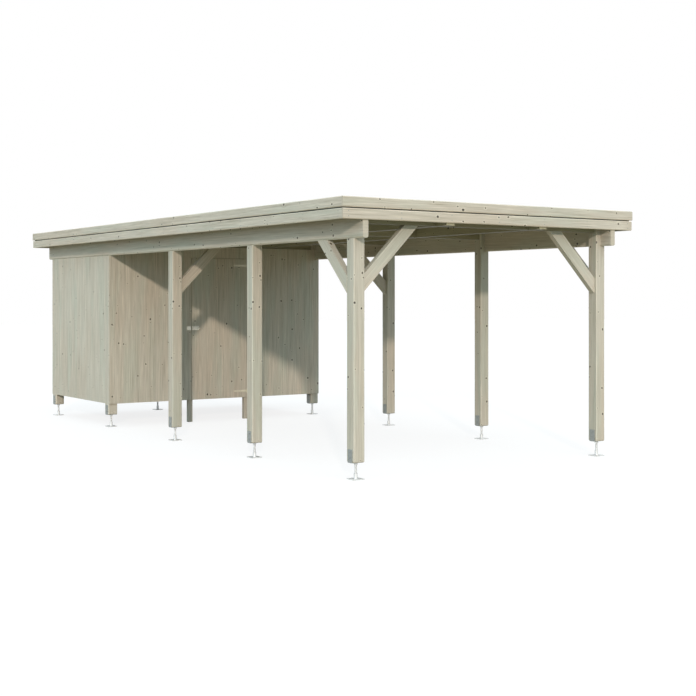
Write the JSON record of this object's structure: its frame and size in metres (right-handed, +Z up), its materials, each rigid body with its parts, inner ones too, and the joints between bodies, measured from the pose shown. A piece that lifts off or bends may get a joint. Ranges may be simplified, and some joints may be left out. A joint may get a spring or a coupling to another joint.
{
  "type": "flat-roofed carport with store",
  "caption": "Flat-roofed timber carport: notched posts on adjustable steel feet carry side beams and a boarded roof, and a boarded store with a hinged door closes its rear bay.",
  "frame": {"origin": "on the ground under the middle of the roof", "axes": "+X to the right along the front edge, +Y from the front to the store at the back, +Z up"},
  "size_m": [3.672, 7.982, 2.581],
  "materials": {
    "frame_timber": "planed spruce, pale grey-cream glaze",
    "wall_boards": "planed spruce boards with dark knots",
    "fascia_boards": "planed spruce boards",
    "roof_felt": "matt mineral-faced felt",
    "galvanised": "zinc coated"
  },
  "bodies": {
    "carport": {"adjusting_rods": "galvanised", "base_plates": "galvanised", "bolt_keeper": "galvanised", "cross_beams": "frame_timber", "cross_braces": "frame_timber", "door_head": "frame_timber", "edge_rails": "frame_timber", "front_lower_fascia": "fascia_boards", "front_posts": "frame_timber", "front_upper_fascia": "fascia_boards", "front_wall_left": "wall_boards", "front_wall_right": "wall_boards", "hinge_plates": "galvanised", "left_door_post": "frame_timber", "left_lower_fascia": "fascia_boards", "left_side_beam": "frame_timber", "left_store_wall": "wall_boards", "left_upper_fascia": "fascia_boards", "over_door_panel": "wall_boards", "post_brackets": "galvanised", "purlins": "frame_timber", "rear_lower_fascia": "fascia_boards", "rear_middle_post": "frame_timber", "rear_store_wall": "wall_boards", "rear_upper_fascia": "fascia_boards", "right_door_post": "frame_timber", "right_lower_fascia": "fascia_boards", "right_side_beam": "frame_timber", "right_store_wall": "wall_boards", "right_upper_fascia": "fascia_boards", "roof_deck": "frame_timber", "roof_felt": "roof_felt", "second_posts": "frame_timber", "side_braces": "frame_timber", "store_front_posts": "frame_timber", "store_rear_posts": "frame_timber", "third_posts": "frame_timber", "upstand_battens": "frame_timber", "wall_rails": "frame_timber"},
    "door": {"door_leaf": "wall_boards", "door_ledges": "frame_timber", "door_diagonals": "frame_timber", "door_straps": "galvanised", "bolt_guide": "galvanised"},
    "bolt": {"door_bolt": "galvanised"}
  },
  "joints": [
    {"name": "door_hinge", "type": "hinge", "parent": "carport", "child": "door", "pos_m": [0.425, 1.792, 1.25], "axis": [0, 0, 1], "range_deg": [0, 120]},
    {"name": "bolt_slide", "type": "slide", "parent": "door", "child": "bolt", "axis": [-1, 0, 0], "range_m": [0, 0.05]}
  ]
}
